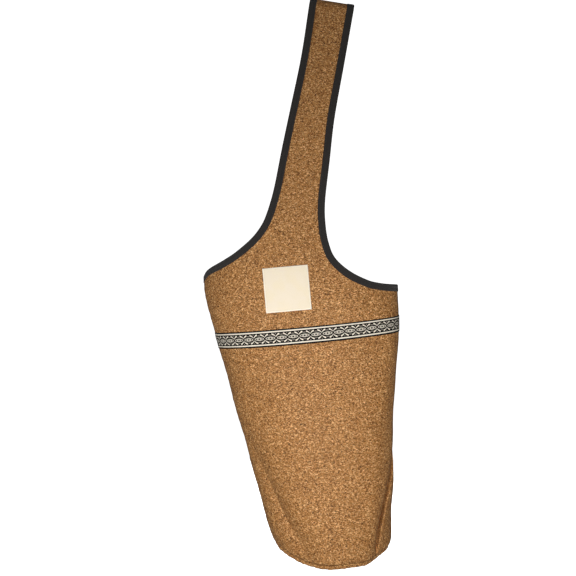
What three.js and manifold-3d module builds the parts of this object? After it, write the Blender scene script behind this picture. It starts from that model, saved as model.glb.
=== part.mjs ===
// A yoga mat bag of cork cloth, hanging from its shoulder strap.
//
// The front and the back are each cut in one piece, a body that narrows into half of the strap. They are sewn to each
// other down both sides and over the top of the strap, and to an oval base. A folded tape binds each of the two long
// raw edges, a woven ribbon runs round the body, and a plain label is sewn to the front.
//
// Millimetres, +Z up, seen from -Y, with X to the right. The origin is the point of the strap that lies on the hook.

import Module from "manifold-3d";
import * as THREE from "three";
import { mergeVertices } from "three/addons/utils/BufferGeometryUtils.js";

const wasm = await Module();
wasm.setup();

// Sizes of the bag.
const MOUTH_WIDTH = 266;
const BASE_WIDTH = 158;
const BODY_DEPTH = 128;
const BODY_HEIGHT = 363;
const BASE_DOME = 12;
const STRAP_WIDTH = 58.5;
const STRAP_DROP = 382.5; // from the hook down to the mouth, at the crest of the front
const STRAP_LEAN = 65; // how far the crest of the mouth hangs to the left of the hook
const HOOK_RADIUS = 14;
const CLOTH = 2;
const SEAM_GAP = 0.3;
const LEAST_GAP = 0.2;
const TAPE = 1;
const TAPE_LEG = 7.6;
const RIBBON_BELOW_MOUTH = 73; // from the mouth down to its middle, along the front's crest
const RIBBON_WIDTH = 21;
const RIBBON_THICKNESS = 0.8;
const LABEL_WIDTH = 59;
const LABEL_HEIGHT = 58;
const LABEL_THICKNESS = 0.8;
const LABEL_BELOW_MOUTH = 11.5;
const LABEL_RIGHT = 3.5; // of the crest
const LABEL_TILT = 5.2; // degrees, its right side up

// How finely the shapes are cut.
const BODY_ROWS = 14;
const SHOULDER_CUTS = 12;
const STRAP_ROWS = 10;
const HOOK_ROWS = 5;
const STRAP_COLUMNS = 5;
const COLUMNS = 2 * SHOULDER_CUTS + STRAP_COLUMNS;
const DOME_RINGS = 4;
const LABEL_CELLS = 4;

const FRONT = -1;
const BACK = 1;
const degrees = THREE.MathUtils.degToRad;
const { lerp, clamp } = THREE.MathUtils;

// The body from its base seam, rise 0, to its mouth, rise 1.
// open: width, as a share of the way from the base's width to the mouth's.
// crest: where the front stands out most, as a share of the way to the left, STRAP_LEAN.
// split: the share of the width that lies left of the crest.
// tilt: the slope of the row in degrees, right side up. sag: how far the crest droops, in shares of the height.
// deep: half the depth, in shares of half of BODY_DEPTH. roundLeft, roundRight: 2 is an ellipse, more is squarer.
const BODY = [
  { rise: 0, open: 0, crest: -0.02, split: 0.507, tilt: 0, sag: 0.016, deep: 0.94, roundLeft: 1.72, roundRight: 1.9 },
  { rise: 0.17, open: 0.213, crest: 0.22, split: 0.462, tilt: 1.3, sag: 0.006, deep: 0.97, roundLeft: 2, roundRight: 2.4 },
  { rise: 0.48, open: 0.491, crest: 0.6, split: 0.419, tilt: 3, sag: 0, deep: 1, roundLeft: 2.05, roundRight: 2.7 },
  { rise: 0.8, open: 0.845, crest: 0.857, split: 0.413, tilt: 5.2, sag: 0, deep: 1, roundLeft: 2, roundRight: 3 },
  { rise: 1, open: 1, crest: 1, split: 0.42, tilt: -2.5, sag: 0, deep: 0.97, roundLeft: 2, roundRight: 2.7 },
];

// The same columns on from the mouth, rise 0, to where the strap meets the hook, rise 1. Here the panels lie on a
// tube that goes on up from the body. deep goes from 0, at the hook, to 1, half of BODY_DEPTH.
const STRAP = [
  { rise: 0.04, open: 0.977, crest: 0.955, split: 0.426, tilt: -3.4, sag: 0, deep: 0.94, roundLeft: 2, roundRight: 2.6 },
  { rise: 0.086, open: 0.94, crest: 0.925, split: 0.44, tilt: -4.6, sag: 0, deep: 0.91, roundLeft: 2, roundRight: 2.4 },
  { rise: 0.147, open: 0.886, crest: 0.866, split: 0.459, tilt: -6.2, sag: 0, deep: 0.85, roundLeft: 2, roundRight: 2.2 },
  { rise: 0.236, open: 0.822, crest: 0.79, split: 0.476, tilt: -8.2, sag: 0, deep: 0.76, roundLeft: 2, roundRight: 2 },
  { rise: 0.332, open: 0.749, crest: 0.695, split: 0.492, tilt: -9.2, sag: 0, deep: 0.664, roundLeft: 2, roundRight: 2 },
  { rise: 0.581, open: 0.657, crest: 0.455, split: 0.5, tilt: -9.4, sag: 0, deep: 0.417, roundLeft: 2, roundRight: 2 },
  { rise: 0.808, open: 0.657, crest: 0.208, split: 0.5, tilt: -10.6, sag: 0, deep: 0.191, roundLeft: 2, roundRight: 2 },
  { rise: 1, open: 0.657, crest: 0.03, split: 0.5, tilt: -9.2, sag: 0, deep: 0, roundLeft: 2, roundRight: 2 },
];

// The two bound edges, step by step from the side seam to the hook. rise is the place up the strap, and share is the
// place across it: 1 is at the side seam and 0 at the plain width of the strap.
const EDGES = [
  { leftRise: 0, leftShare: 1, rightRise: 0, rightShare: 1 },
  { leftRise: 0.023, leftShare: 0.92, rightRise: 0.001, rightShare: 0.8 },
  { leftRise: 0.054, leftShare: 0.664, rightRise: 0.012, rightShare: 0.63 },
  { leftRise: 0.083, leftShare: 0.465, rightRise: 0.043, rightShare: 0.425 },
  { leftRise: 0.125, leftShare: 0.273, rightRise: 0.09, rightShare: 0.262 },
  { leftRise: 0.167, leftShare: 0.152, rightRise: 0.145, rightShare: 0.17 },
  { leftRise: 0.215, leftShare: 0.08, rightRise: 0.205, rightShare: 0.111 },
  { leftRise: 0.3, leftShare: 0.034, rightRise: 0.3, rightShare: 0.055 },
  { leftRise: 0.45, leftShare: 0.018, rightRise: 0.45, rightShare: 0.028 },
  { leftRise: 0.6, leftShare: -0.002, rightRise: 0.6, rightShare: -0.005 },
  { leftRise: 0.8, leftShare: -0.011, rightRise: 0.8, rightShare: -0.014 },
  { leftRise: 1, leftShare: 0, rightRise: 1, rightShare: 0 },
].map((row, step) => ({ ...row, step }));
const PLAIN_STEP = 7; // from this step on the edges run along the strap

// Folds, each a dent along a line from the base seam up to rise, where it has faded out.
// from, to, bow: the line's place across the panel, -1 at the left seam and 1 at the right, and how far it bows.
// depth and the widths of its two sides are in shares of half of BODY_DEPTH.
const FOLDS = [
  { side: FRONT, rise: 0.8, from: 0.69, to: 0.97, bow: 0.09, depth: 0.13, left: 0.13, right: 0.42 },
  { side: FRONT, rise: 0.6, from: -0.5, to: -0.93, bow: -0.02, depth: 0.09, left: 0.26, right: 0.22 },
  { side: BACK, rise: 0.7, from: 0.45, to: 0.8, bow: 0.04, depth: 0.08, left: 0.2, right: 0.35 },
  { side: BACK, rise: 0.55, from: -0.35, to: -0.75, bow: -0.05, depth: 0.07, left: 0.3, right: 0.25 },
];

const hookOuter = HOOK_RADIUS + CLOTH;
const halfDepth = BODY_DEPTH / 2;
const strapRoot = STRAP[3];
const strapFall = Math.atan((strapRoot.deep * (halfDepth - hookOuter)) / ((1 - strapRoot.rise) * STRAP_DROP));
const hookZ = -HOOK_RADIUS + hookOuter * Math.sin(strapFall); // where the strap first touches the hook's curve
const strapLength = STRAP_DROP + hookZ;
const mouthPath = BODY_HEIGHT;
const ribbonPath = mouthPath - RIBBON_BELOW_MOUTH;
const hookPath = BODY_HEIGHT + strapLength;
const topPath = hookPath + hookOuter * (Math.PI / 2 - strapFall);

// The sections in one list, with the size of each in millimetres. path is the way up the crest from the base seam.
const sections = [
  ...BODY.map((row) => ({
    ...row,
    path: row.rise * BODY_HEIGHT,
    z: (row.rise - 1) * BODY_HEIGHT - STRAP_DROP,
    deep: row.deep * halfDepth,
  })),
  ...STRAP.map((row) => ({
    ...row,
    path: mouthPath + row.rise * strapLength,
    z: row.rise * strapLength - STRAP_DROP,
    deep: lerp(hookOuter * Math.cos(strapFall), halfDepth, row.deep),
  })),
];

// A smooth curve through one column of a table, whose rows lie at uneven steps along another.
function smooth(rows, along, column, at) {
  const last = rows.length - 1;
  let i = 0;
  while (i < last - 1 && at > rows[i + 1][along]) i += 1;
  const step = (k) => rows[k + 1][along] - rows[k][along];
  const slope = (k) => (rows[k + 1][column] - rows[k][column]) / step(k);
  const tangent = (k) => {
    if (k === 0) return slope(0);
    if (k === last) return slope(last - 1);
    return (slope(k - 1) * step(k) + slope(k) * step(k - 1)) / (step(k - 1) + step(k));
  };
  const t = (at - rows[i][along]) / step(i);
  const bend = t * t * (3 - 2 * t);
  return (
    lerp(rows[i][column], rows[i + 1][column], bend) +
    step(i) * t * (1 - t) * ((1 - t) * tangent(i) - t * tangent(i + 1))
  );
}

// The section of the tube at a path, in millimetres and radians.
function sectionAt(path) {
  const at = Math.min(path, hookPath);
  const get = (column) => smooth(sections, "path", column, at);
  const width = lerp(BASE_WIDTH, MOUTH_WIDTH, get("open"));
  const section = {
    crestX: -STRAP_LEAN * get("crest"),
    z: get("z"),
    halfLeft: width * get("split"),
    halfRight: width * (1 - get("split")),
    tilt: degrees(get("tilt")),
    sag: get("sag") * BODY_HEIGHT,
    deep: get("deep"),
    roundLeft: get("roundLeft"),
    roundRight: get("roundRight"),
  };
  if (path > hookPath) {
    const turn = strapFall + (path - hookPath) / hookOuter;
    section.z = -HOOK_RADIUS + hookOuter * Math.sin(turn);
    section.deep = hookOuter * Math.cos(turn);
    section.crestX += (section.z - hookZ) * Math.tan(-section.tilt);
  }
  return section;
}

// How deep the folds of a panel are, at a place across it and a path up it.
function foldDepth(side, section, across, path) {
  let depth = 0;
  const rise = path / BODY_HEIGHT;
  for (const fold of FOLDS) {
    if (fold.side !== side) continue;
    const share = clamp(rise / fold.rise, 0, 1);
    const line = lerp(fold.from, fold.to, share) + fold.bow * Math.sin(Math.PI * share);
    const half = across < 0 ? section.halfLeft : section.halfRight;
    const away = ((across - line) * half) / (halfDepth * (across < line ? fold.left : fold.right));
    depth += fold.depth * halfDepth * (1 - share * share) * Math.exp(-away * away);
  }
  return depth;
}

// The outer face of the bag. angle runs round one side, from 0 at the left seam to PI at the right seam.
function facePoint(side, angle, path) {
  const section = sectionAt(path);
  const left = angle < Math.PI / 2;
  const half = left ? section.halfLeft : section.halfRight;
  const round = left ? section.roundLeft : section.roundRight;
  const c = Math.cos(angle);
  const s = Math.sin(angle);
  const reach = (Math.abs(c) ** round + Math.abs(s) ** round) ** (-1 / round);
  const across = -c * reach;
  const out = s * reach;
  const dent = foldDepth(side, section, across, path) * clamp(out * 2, 0, 1);
  const x = section.crestX + half * across;
  return new THREE.Vector3(
    x,
    side * (section.deep * out - dent),
    section.z + Math.tan(section.tilt) * (x - section.crestX) - section.sag * out,
  );
}

// The two directions of the face at a place, round the bag and up it, each per unit of its own measure.
function faceSlopes(side, angle, path) {
  const small = { angle: 0.01, path: 0.5 };
  const round = facePoint(side, angle + small.angle, path).sub(facePoint(side, angle - small.angle, path));
  const up = facePoint(side, angle, path + small.path).sub(facePoint(side, angle, path - small.path));
  return { round: round.divideScalar(2 * small.angle), up: up.divideScalar(2 * small.path) };
}

function faceNormal(side, angle, path) {
  const { round, up } = faceSlopes(side, angle, Math.min(path, topPath - 0.5));
  return round.cross(up).multiplyScalar(-side).normalize();
}

// A point of a panel, lift in front of the outer face. The two panels keep half a seam gap from the middle plane.
function panelPoint(side, angle, path, lift) {
  const point = facePoint(side, angle, path).addScaledVector(faceNormal(side, angle, path), lift);
  point.y += (side * SEAM_GAP) / 2;
  return point;
}

// The place on the face of a bound edge at one of its steps, or between two.
function edgePlace(edge, step, path) {
  const at = path ?? mouthPath + strapLength * smooth(EDGES, "step", `${edge}Rise`, step);
  const section = sectionAt(at);
  const half = edge === "left" ? section.halfLeft : section.halfRight;
  const round = edge === "left" ? section.roundLeft : section.roundRight;
  const plain = (STRAP_WIDTH / 2) * Math.cos(section.tilt);
  const share = clamp(lerp(plain, half, smooth(EDGES, "step", `${edge}Share`, step)) / half, 0, 1);
  const angle = Math.atan((share ** -round - 1) ** (1 / round));
  return { angle: edge === "left" ? angle : Math.PI - angle, path: at };
}

// Walks over the face from a place, in a direction that it keeps as well as the face lets it.
function walk(side, from, direction, distance) {
  const steps = 4;
  const place = { ...from };
  const heading = direction.clone();
  for (let i = 0; i < steps; i += 1) {
    const { round, up } = faceSlopes(side, place.angle, place.path);
    const normal = round.clone().cross(up).normalize();
    heading.addScaledVector(normal, -heading.dot(normal)).normalize();
    const [a, b, c] = [round.dot(round), round.dot(up), up.dot(up)];
    const [u, v] = [round.dot(heading), up.dot(heading)];
    place.angle += ((distance / steps) * (c * u - b * v)) / (a * c - b * b);
    place.path += ((distance / steps) * (a * v - b * u)) / (a * c - b * b);
  }
  return place;
}

// Places all along a bound edge, from the corner of the mouth to the top seam, at even distances in each stretch.
function edgePlaces(edge) {
  const last = EDGES.length - 1;
  const places = [];
  const stretch = (from, to, rows) => {
    const fine = [];
    for (let i = 0; i <= 300; i += 1) {
      const place = edgePlace(edge, lerp(from, to, i / 300));
      const point = facePoint(FRONT, place.angle, place.path);
      const run = i === 0 ? 0 : fine[i - 1].run + point.distanceTo(fine[i - 1].point);
      fine.push({ place, point, run });
    }
    for (let i = 0; i < rows; i += 1) {
      places.push(fine.find(({ run }) => run >= (fine[300].run * i) / rows).place);
    }
  };
  stretch(0, PLAIN_STEP, SHOULDER_CUTS);
  stretch(PLAIN_STEP, last, STRAP_ROWS);
  for (let i = 0; i <= HOOK_ROWS; i += 1) {
    places.push(edgePlace(edge, last, lerp(hookPath, topPath, i / HOOK_ROWS)));
  }
  return places;
}

// Each cut of a bound edge: its place, the way into the panel, and the place at the tape's inner edge. The places at
// the edge of the cloth also know the way out of it.
function boundEdge(side, edge) {
  const toSeam = new THREE.Vector3(0, -side, 0);
  const places = edgePlaces(edge);
  const points = places.map(({ angle, path }) => facePoint(side, angle, path));
  const handed = (edge === "left" ? 1 : -1) * -side;
  return places.map((place, i) => {
    const before = points[Math.max(i - 1, 0)];
    const after = points[Math.min(i + 1, points.length - 1)];
    const along = i === 0 ? toSeam.clone().negate() : after.clone().sub(before).normalize();
    const inward = along.cross(faceNormal(side, place.angle, place.path)).multiplyScalar(handed).normalize();
    const hem = walk(side, place, inward, TAPE_LEG);
    place.out = inward.clone().negate();
    if (i === 0) {
      hem.angle = place.angle;
      hem.out = toSeam;
      place.out.add(toSeam);
    }
    if (i === places.length - 1) hem.path = place.path;
    return { place, inward, hem };
  });
}

const boundEdges = {};
for (const side of [FRONT, BACK]) {
  boundEdges[side] = { left: boundEdge(side, "left"), right: boundEdge(side, "right") };
}

// Neighbouring rows of places make cells, each of four places, anticlockwise as seen from in front of the bag.
function gridCells(rows) {
  const cells = [];
  for (let i = 0; i < rows.length - 1; i += 1) {
    for (let k = 0; k < rows[i].length - 1; k += 1) {
      cells.push([rows[i][k], rows[i][k + 1], rows[i + 1][k + 1], rows[i + 1][k]]);
    }
  }
  return cells;
}

function between(from, to, share) {
  return { angle: lerp(from.angle, to.angle, share), path: lerp(from.path, to.path, share) };
}

// The rows of the strap of a panel, from its root to the top seam.
function strapRows(side) {
  const { left, right } = boundEdges[side];
  const rows = [];
  for (let i = SHOULDER_CUTS; i < left.length; i += 1) {
    const row = [left[i].place, left[i].hem];
    for (let k = 1; k < STRAP_COLUMNS; k += 1) row.push(between(left[i].hem, right[i].hem, k / STRAP_COLUMNS));
    rows.push([...row, right[i].hem, right[i].place]);
  }
  return rows;
}

// The places where the columns of the body end, under the tapes' inner edges and at the root of the strap.
function columnEnds(side) {
  const { left, right } = boundEdges[side];
  return [
    ...left.slice(0, SHOULDER_CUTS).map(({ hem }) => hem),
    ...strapRows(side)[0].slice(1, -1),
    ...right.slice(0, SHOULDER_CUTS).map(({ hem }) => hem).reverse(),
  ];
}

function onColumn(end, k, share) {
  return between({ angle: (Math.PI * k) / COLUMNS, path: 0 }, end, share);
}

// The cells of a panel: the strap, the body up to the tapes' inner edges, and the strips under the two tapes.
function panelCells(side) {
  const { left, right } = boundEdges[side];
  const ends = columnEnds(side);
  const strap = strapRows(side);
  strap[0] = [strap[0][0], ...ends.slice(SHOULDER_CUTS, -SHOULDER_CUTS), strap[0].at(-1)];
  const body = [];
  for (let i = 0; i < BODY_ROWS; i += 1) {
    const row = ends.map((end, k) => onColumn(end, k, i / BODY_ROWS));
    row[0].out = left[0].hem.out;
    row[COLUMNS].out = right[0].hem.out;
    body.push(row);
  }
  body.push(ends);
  const leftCuts = left.slice(0, SHOULDER_CUTS + 1);
  const rightCuts = right.slice(0, SHOULDER_CUTS + 1).reverse();
  const strip = (cuts) => gridCells([cuts.map(({ hem }) => hem), cuts.map(({ place }) => place)]);
  return [...gridCells(strap), ...gridCells(body), ...strip(leftCuts), ...strip(rightCuts)];
}

// Collects triangles, and leaves out those with two corners at one point.
class Faces {
  constructor() {
    this.corners = [];
  }

  triangle(a, b, c) {
    const near = 1e-6;
    if (a.distanceTo(b) < near || b.distanceTo(c) < near || c.distanceTo(a) < near) return;
    this.corners.push(...a.toArray(), ...b.toArray(), ...c.toArray());
  }

  quad(a, b, c, d) {
    this.triangle(a, b, c);
    this.triangle(a, c, d);
  }

  geometry() {
    const raw = new THREE.BufferGeometry();
    raw.setAttribute("position", new THREE.Float32BufferAttribute(this.corners, 3));
    const merged = mergeVertices(raw, 1e-4);
    merged.computeVertexNormals();
    return merged;
  }
}

// A closed wall over cells of one side: its two faces, and an edge wherever a cell has no neighbour.
function wallGeometry(side, cells, outerPoint, innerPoint) {
  const faces = new Faces();
  const points = new Map();
  const next = new Map();
  for (const cell of cells) {
    for (const place of cell) {
      if (!points.has(place)) points.set(place, { outer: outerPoint(place), inner: innerPoint(place) });
      if (!next.has(place)) next.set(place, new Set());
    }
    const [a, b, c, d] = side === FRONT ? cell : [...cell].reverse();
    const corners = [a, b, c, d].map((place) => points.get(place));
    faces.quad(...corners.map(({ outer }) => outer));
    faces.quad(...[0, 3, 2, 1].map((k) => corners[k].inner));
    next.get(a).add(b);
    next.get(b).add(c);
    next.get(c).add(d);
    next.get(d).add(a);
  }
  for (const [from, ends] of next) {
    for (const to of ends) {
      if (next.get(to).has(from)) continue;
      const [start, end] = [points.get(from), points.get(to)];
      faces.quad(end.outer, start.outer, start.inner, end.inner);
    }
  }
  return faces.geometry();
}

// A panel, or with some spare a thicker and longer copy of it, to keep other pieces that far away.
function panelGeometry(side, spare = 0) {
  const point = ({ angle, path, out }, lift) => {
    const corner = panelPoint(side, angle, path, lift);
    return out ? corner.addScaledVector(out, spare) : corner;
  };
  const outer = (place) => point(place, spare);
  const inner = (place) => point(place, -CLOTH - spare);
  return wallGeometry(side, panelCells(side), outer, inner);
}

// A flat piece sewn on the face of a panel, over rows of places.
function patchGeometry(side, rows, thickness) {
  const outer = ({ angle, path }) => panelPoint(side, angle, path, SEAM_GAP + thickness);
  const inner = ({ angle, path }) => panelPoint(side, angle, path, SEAM_GAP);
  return wallGeometry(side, gridCells(rows), outer, inner);
}

// The base is one oval of cloth that the load presses out below its seam. Its rim lies under the walls.
function baseGeometry() {
  const rim = [];
  for (let k = 0; k < COLUMNS; k += 1) rim.push([FRONT, (Math.PI * k) / COLUMNS]);
  for (let k = 0; k < COLUMNS; k += 1) rim.push([BACK, Math.PI * (1 - k / COLUMNS)]);
  const { crestX, z } = sectionAt(0);
  const point = ([side, angle], share, drop) => {
    const edge = facePoint(side, angle, 0);
    const dome = BASE_DOME * Math.sqrt(1 - share * share);
    return new THREE.Vector3(
      lerp(crestX, edge.x, share),
      edge.y * share,
      lerp(z, edge.z, share) - SEAM_GAP - dome - drop,
    );
  };
  const faces = new Faces();
  rim.forEach((here, k) => {
    const next = rim[(k + 1) % rim.length];
    for (let ring = 0; ring < DOME_RINGS; ring += 1) {
      const inner = Math.sin(((Math.PI / 2) * ring) / DOME_RINGS);
      const outer = Math.sin(((Math.PI / 2) * (ring + 1)) / DOME_RINGS);
      faces.quad(point(here, inner, 0), point(here, outer, 0), point(next, outer, 0), point(next, inner, 0));
      faces.quad(
        point(next, inner, CLOTH),
        point(next, outer, CLOTH),
        point(here, outer, CLOTH),
        point(here, inner, CLOTH),
      );
    }
    faces.quad(point(here, 1, 0), point(here, 1, CLOTH), point(next, 1, CLOTH), point(next, 1, 0));
  });
  return faces.geometry();
}

// The tape's section at a sample of a bound edge: a U folded over the raw edge of the cloth.
function tapeSection(side, { place, inward, hem }, middle) {
  const at = ({ angle, path }, lift, out) => {
    const point = middle
      ? facePoint(side, angle, path).addScaledVector(faceNormal(side, angle, path), lift)
      : panelPoint(side, angle, path, lift);
    return point.addScaledVector(inward, -out);
  };
  const over = SEAM_GAP + TAPE;
  const back = -CLOTH - SEAM_GAP;
  return [
    at(hem, over, 0),
    at(place, over, SEAM_GAP),
    at(place, 0, over),
    at(place, -CLOTH, over),
    at(place, back - TAPE, SEAM_GAP),
    at(hem, back - TAPE, 0),
    at(hem, back, 0),
    at(place, back, SEAM_GAP),
    at(place, SEAM_GAP, SEAM_GAP),
    at(hem, SEAM_GAP, 0),
  ];
}

// One tape runs up the front edge from the side seam, over the hook and down the back edge to the same seam.
function tapeGeometry(edge) {
  const last = boundEdges[FRONT][edge].length - 1;
  const loop = [];
  boundEdges[FRONT][edge].forEach((sample, i) => loop.push(tapeSection(FRONT, sample, i === 0 || i === last)));
  const down = boundEdges[BACK][edge].slice(1, last).reverse();
  down.forEach((sample) => loop.push(tapeSection(BACK, sample, false)));
  const faces = new Faces();
  loop.forEach((here, i) => {
    const next = loop[(i + 1) % loop.length];
    here.forEach((corner, k) => {
      const j = (k + 1) % here.length;
      if (edge === "left") faces.quad(next[k], next[j], here[j], corner);
      else faces.quad(corner, here[j], next[j], next[k]);
    });
  });
  return faces.geometry();
}

// The ribbon lies on one panel from seam to seam, of one width all along.
function ribbonGeometry(side) {
  const rows = [-0.5, 0, 0.5].map((share) =>
    columnEnds(side).map((end, k) => {
      const middle = onColumn(end, k, ribbonPath / end.path);
      const offset = (share * RIBBON_WIDTH) / faceSlopes(side, middle.angle, middle.path).up.length();
      return onColumn(end, k, (ribbonPath + offset) / end.path);
    }),
  );
  return patchGeometry(side, rows, RIBBON_THICKNESS);
}

// The place of the front face that is seen at x, z from straight ahead.
function placeSeenAt(x, z) {
  const place = { angle: Math.PI / 2, path: mouthPath };
  for (let i = 0; i < 12; i += 1) {
    const here = facePoint(FRONT, place.angle, place.path);
    const { round, up } = faceSlopes(FRONT, place.angle, place.path);
    const [dx, dz] = [x - here.x, z - here.z];
    const size = round.x * up.z - up.x * round.z;
    place.angle += (dx * up.z - dz * up.x) / size;
    place.path += (dz * round.x - dx * round.z) / size;
  }
  return place;
}

function labelGeometry() {
  const middle = sectionAt(mouthPath - LABEL_BELOW_MOUTH);
  const [c, s] = [Math.cos(degrees(LABEL_TILT)), Math.sin(degrees(LABEL_TILT))];
  const rows = [];
  for (let i = 0; i <= LABEL_CELLS; i += 1) {
    const row = [];
    for (let k = 0; k <= LABEL_CELLS; k += 1) {
      const right = (k / LABEL_CELLS - 0.5) * LABEL_WIDTH;
      const up = (i / LABEL_CELLS - 0.5) * LABEL_HEIGHT;
      row.push(placeSeenAt(middle.crestX + LABEL_RIGHT + right * c - up * s, middle.z + right * s + up * c));
    }
    rows.push(row);
  }
  return patchGeometry(FRONT, rows, LABEL_THICKNESS);
}

function toSolid(geometry) {
  const vertProperties = new Float32Array(geometry.getAttribute("position").array);
  const triVerts = new Uint32Array(geometry.getIndex().array);
  return new wasm.Manifold(new wasm.Mesh({ numProp: 3, vertProperties, triVerts }));
}

function toGeometry(solid) {
  const { vertProperties, triVerts } = solid.getMesh();
  const geometry = new THREE.BufferGeometry();
  geometry.setAttribute("position", new THREE.BufferAttribute(vertProperties, 3));
  geometry.setIndex(new THREE.BufferAttribute(triVerts, 1));
  geometry.computeVertexNormals();
  return geometry;
}

// A tape, cut back to the least gap wherever it comes closer to a panel in the turns of the edge.
function clearTapeGeometry(edge) {
  let tape = toSolid(tapeGeometry(edge));
  tape = tape.subtract(toSolid(panelGeometry(FRONT, LEAST_GAP)));
  tape = tape.subtract(toSolid(panelGeometry(BACK, LEAST_GAP)));
  const bodies = tape.decompose().sort((a, b) => b.volume() - a.volume());
  return toGeometry(bodies[0]);
}

const corkCloth = new THREE.MeshStandardMaterial({ color: 0xb07f50, roughness: 0.85, metalness: 0 });
const cottonTape = new THREE.MeshStandardMaterial({ color: 0x2f2d2b, roughness: 0.95, metalness: 0 });
const wovenRibbon = new THREE.MeshStandardMaterial({ color: 0x8a8175, roughness: 0.8, metalness: 0 });
const labelCloth = new THREE.MeshStandardMaterial({ color: 0xf7e9ce, roughness: 0.75, metalness: 0 });

const bag = new THREE.Group();

function addPiece(name, geometry, material) {
  const mesh = new THREE.Mesh(geometry, material);
  mesh.name = name;
  bag.add(mesh);
}

addPiece("front_panel", panelGeometry(FRONT), corkCloth);
addPiece("back_panel", panelGeometry(BACK), corkCloth);
addPiece("base_panel", baseGeometry(), corkCloth);
addPiece("left_edge_tape", clearTapeGeometry("left"), cottonTape);
addPiece("right_edge_tape", clearTapeGeometry("right"), cottonTape);
addPiece("front_ribbon", ribbonGeometry(FRONT), wovenRibbon);
addPiece("back_ribbon", ribbonGeometry(BACK), wovenRibbon);
addPiece("front_label", labelGeometry(), labelCloth);

export default bag;
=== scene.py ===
"""A yoga mat bag of cork cloth, hanging from its shoulder strap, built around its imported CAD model."""

import math

import bmesh
import bpy
import numpy as np
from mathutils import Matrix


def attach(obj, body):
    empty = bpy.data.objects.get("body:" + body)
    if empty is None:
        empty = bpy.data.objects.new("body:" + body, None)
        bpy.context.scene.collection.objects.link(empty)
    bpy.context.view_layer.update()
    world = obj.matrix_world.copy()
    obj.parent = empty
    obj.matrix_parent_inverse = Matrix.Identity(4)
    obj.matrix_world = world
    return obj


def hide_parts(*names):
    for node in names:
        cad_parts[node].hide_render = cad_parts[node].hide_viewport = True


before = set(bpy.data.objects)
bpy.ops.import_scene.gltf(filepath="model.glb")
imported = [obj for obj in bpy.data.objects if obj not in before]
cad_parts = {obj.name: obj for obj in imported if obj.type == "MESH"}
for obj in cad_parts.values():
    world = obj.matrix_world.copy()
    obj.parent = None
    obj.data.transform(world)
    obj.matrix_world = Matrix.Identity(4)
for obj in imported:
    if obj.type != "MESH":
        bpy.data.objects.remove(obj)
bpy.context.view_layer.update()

# The front and the back panel.
# Cork cloth, a shaved skin of cork glued on cotton. Each panel is cut in one piece, a body that narrows into
# half of the shoulder strap. The two are sewn together inside out down both sides and over the strap's top.
# The form repeats the CAD source's named sizes and shares, in metres.

MOUTH_WIDTH = 0.266
BASE_WIDTH = 0.158
BODY_DEPTH = 0.128
BODY_HEIGHT = 0.363
STRAP_WIDTH = 0.0585
STRAP_DROP = 0.3825
STRAP_LEAN = 0.065
HOOK_RADIUS = 0.014
WALL = 0.002  # the thickness of the cloth in the CAD source
CORK_CLOTH = 0.0015
SEAM_GAP = 0.0003
BINDING_LEG = 0.0084
FRONT = -1
BACK = 1

# Up the body: rise, open, crest, split, tilt, sag, deep, squareness left and right.
BODY_FORM = [
    (0, 0, -0.02, 0.507, 0, 0.016, 0.94, 1.72, 1.9),
    (0.17, 0.213, 0.22, 0.462, 1.3, 0.006, 0.97, 2, 2.4),
    (0.48, 0.491, 0.6, 0.419, 3, 0, 1, 2.05, 2.7),
    (0.8, 0.845, 0.857, 0.413, 5.2, 0, 1, 2, 3),
    (1, 1, 1, 0.42, -2.5, 0, 0.97, 2, 2.7),
]
# Up the strap, from the mouth to the hook: the same.
STRAP_FORM = [
    (0.04, 0.977, 0.955, 0.426, -3.4, 0, 0.94, 2, 2.6),
    (0.086, 0.94, 0.925, 0.44, -4.6, 0, 0.91, 2, 2.4),
    (0.147, 0.886, 0.866, 0.459, -6.2, 0, 0.85, 2, 2.2),
    (0.236, 0.822, 0.79, 0.476, -8.2, 0, 0.76, 2, 2),
    (0.332, 0.749, 0.695, 0.492, -9.2, 0, 0.664, 2, 2),
    (0.581, 0.657, 0.455, 0.5, -9.4, 0, 0.417, 2, 2),
    (0.808, 0.657, 0.208, 0.5, -10.6, 0, 0.191, 2, 2),
    (1, 0.657, 0.03, 0.5, -9.2, 0, 0, 2, 2),
]
# The cut of the two raw edges, step by step: rise up the strap, and share of the way out to the side seam.
LEFT_CUT = [
    (0, 1), (0.023, 0.92), (0.054, 0.664), (0.083, 0.465), (0.125, 0.273), (0.167, 0.152),
    (0.215, 0.08), (0.3, 0.034), (0.45, 0.018), (0.6, -0.002), (0.8, -0.011), (1, 0),
]
RIGHT_CUT = [
    (0, 1), (0.001, 0.8), (0.012, 0.63), (0.043, 0.425), (0.09, 0.262), (0.145, 0.17),
    (0.205, 0.111), (0.3, 0.055), (0.45, 0.028), (0.6, -0.005), (0.8, -0.014), (1, 0),
]
# Broad folds: side, rise where they fade out, place across below and above, bow, depth, width left and right.
FOLDS = [
    (FRONT, 0.8, 0.69, 0.97, 0.09, 0.045, 0.13, 0.42),
    (FRONT, 0.6, -0.5, -0.93, -0.02, 0.055, 0.3, 0.3),
    (BACK, 0.7, 0.45, 0.8, 0.04, 0.08, 0.2, 0.35),
    (BACK, 0.55, -0.35, -0.75, -0.05, 0.07, 0.3, 0.25),
]

half_depth = BODY_DEPTH / 2
hook_outer = HOOK_RADIUS + WALL
root_rise, root_deep = STRAP_FORM[3][0], STRAP_FORM[3][6]
strap_fall = math.atan(root_deep * (half_depth - hook_outer) / ((1 - root_rise) * STRAP_DROP))
hook_z = -HOOK_RADIUS + hook_outer * math.sin(strap_fall)
strap_length = STRAP_DROP + hook_z
hook_path = BODY_HEIGHT + strap_length
top_path = hook_path + hook_outer * (math.pi / 2 - strap_fall)


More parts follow.
